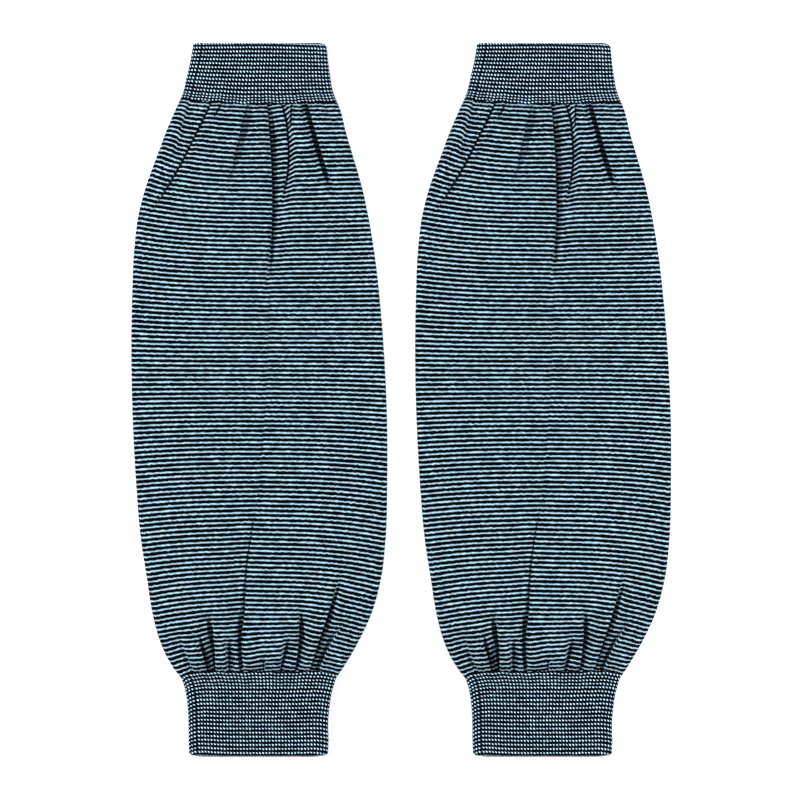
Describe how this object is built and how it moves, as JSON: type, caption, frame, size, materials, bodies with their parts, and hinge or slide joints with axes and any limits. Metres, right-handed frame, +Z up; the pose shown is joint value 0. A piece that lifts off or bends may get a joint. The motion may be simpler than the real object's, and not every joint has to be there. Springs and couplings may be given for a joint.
{
  "type": "pair of gathered knit sleeves",
  "caption": "Pair of loose striped knit tube sleeves laid flat, each gathered at both ends into a ribbed cuff that holds it on a limb.",
  "frame": {"origin": "on the surface that the pair lies on, under the middle of the pair", "axes": "+Z up off the surface, +Y along the sleeves towards their short upper cuffs, +X from the left sleeve to the right one as seen from above"},
  "size_m": [0.3184, 0.42, 0.0101],
  "materials": {
    "striped_jersey": "matt single jersey, even narrow stripes of near-black navy and pale blue",
    "striped_rib": "matt one-by-one rib, near-black navy with a pale blue stitch on each rib in every second pair of rows"
  },
  "bodies": {
    "root": {"left_body": "striped_jersey", "left_lower_cuff": "striped_rib", "left_upper_cuff": "striped_rib", "right_body": "striped_jersey", "right_lower_cuff": "striped_rib", "right_upper_cuff": "striped_rib"}
  },
  "joints": []
}
